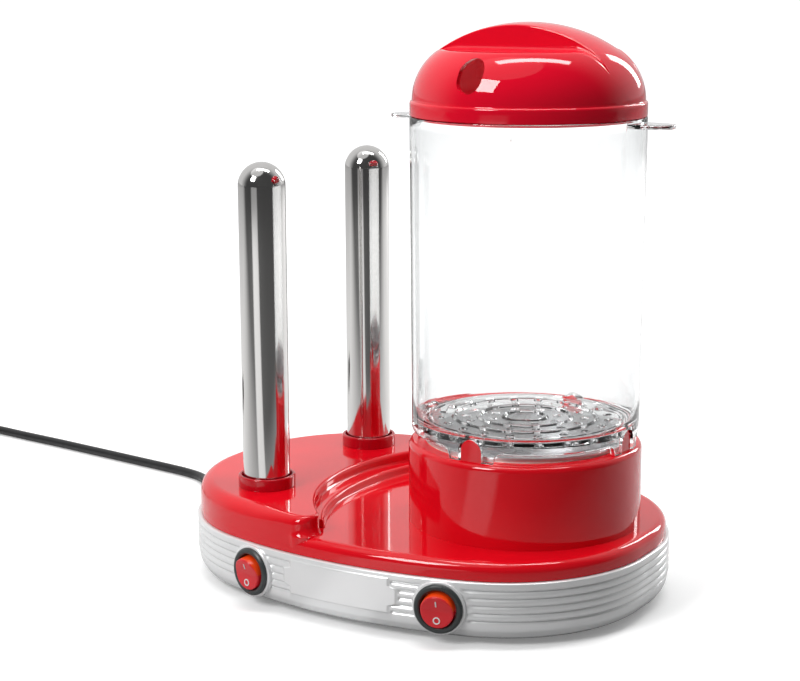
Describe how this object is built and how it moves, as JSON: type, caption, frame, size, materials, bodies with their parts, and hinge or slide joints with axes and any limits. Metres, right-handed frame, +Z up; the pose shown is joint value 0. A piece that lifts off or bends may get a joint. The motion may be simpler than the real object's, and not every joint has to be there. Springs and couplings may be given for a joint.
{
  "type": "hot dog steamer",
  "caption": "Table-top hot dog maker: oval red and silver base with two heated bun spikes, rocker switches and a clear lidded steam container for sausages.",
  "frame": {"origin": "middle of the footprint (container ears included) on the surface the feet stand on", "axes": "+X towards the steam container end, -Y towards the front with the switches, +Z up"},
  "size_m": [0.6103, 0.1918, 0.2738],
  "materials": {
    "red_plastic": "glossy",
    "collar_red": "glossy",
    "lid_red": "glossy",
    "silver_plastic": "satin",
    "black_plastic": "matt",
    "rubber": "matt",
    "cord_black": "satin",
    "steel": "polished",
    "zinc_steel": "plated",
    "aluminium": "satin",
    "brass": "bright",
    "ceramic": "matt",
    "silicone": "matt",
    "clear": "clear",
    "bezel_grey": "satin",
    "rocker_red": "translucent",
    "lamp": "clear",
    "wire": "matt",
    "white_plastic": "matt"
  },
  "bodies": {
    "base": {"top_cover": "red_plastic", "base_band": "silver_plastic", "bottom_plate": "black_plastic", "rubber_feet": "rubber", "case_screws": "zinc_steel", "spike_collar_front": "collar_red", "spike_collar_rear": "collar_red", "spike_tube_front": "steel", "spike_tube_rear": "steel", "spike_heater_front": "ceramic", "spike_heater_rear": "ceramic", "spike_plugs": "ceramic", "spike_nuts": "zinc_steel", "boiler_pan": "aluminium", "pan_seal": "silicone", "boiler_heater": "steel", "heater_strap": "zinc_steel", "strap_screw": "zinc_steel", "thermostat": "aluminium", "thermal_fuse": "zinc_steel", "switch_housing_left": "bezel_grey", "switch_housing_right": "bezel_grey", "switch_terminals": "brass", "indicator_lamps": "lamp", "terminal_block": "white_plastic", "cord_clamp": "black_plastic", "clamp_screws": "zinc_steel", "lead_wires": "wire", "strain_relief": "cord_black", "power_cord": "cord_black", "cord_tail": "cord_black", "cord_coil": "cord_black", "cord_tie": "black_plastic", "plug_body": "cord_black", "plug_pins": "brass"},
    "container": {"container": "clear"},
    "lid": {"lid": "lid_red"},
    "rocker_left": {"rocker_left": "rocker_red"},
    "rocker_right": {"rocker_right": "rocker_red"}
  },
  "joints": [
    {"name": "container_lift", "type": "slide", "parent": "base", "child": "container", "axis": [0, 0, 1], "range_m": [0, 0.14]},
    {"name": "lid_lift", "type": "slide", "parent": "container", "child": "lid", "axis": [0, 0, 1], "range_m": [0, 0.05]},
    {"name": "rocker_left_rock", "type": "hinge", "parent": "base", "child": "rocker_left", "pos_m": [-0.05097, -0.08293, 0.0174], "axis": [-0.9744, 0.225, 0], "range_deg": [0, 18]},
    {"name": "rocker_right_rock", "type": "hinge", "parent": "base", "child": "rocker_right", "pos_m": [0.05097, -0.08163, 0.0174], "axis": [-0.9744, -0.225, 0], "range_deg": [0, 18]}
  ]
}
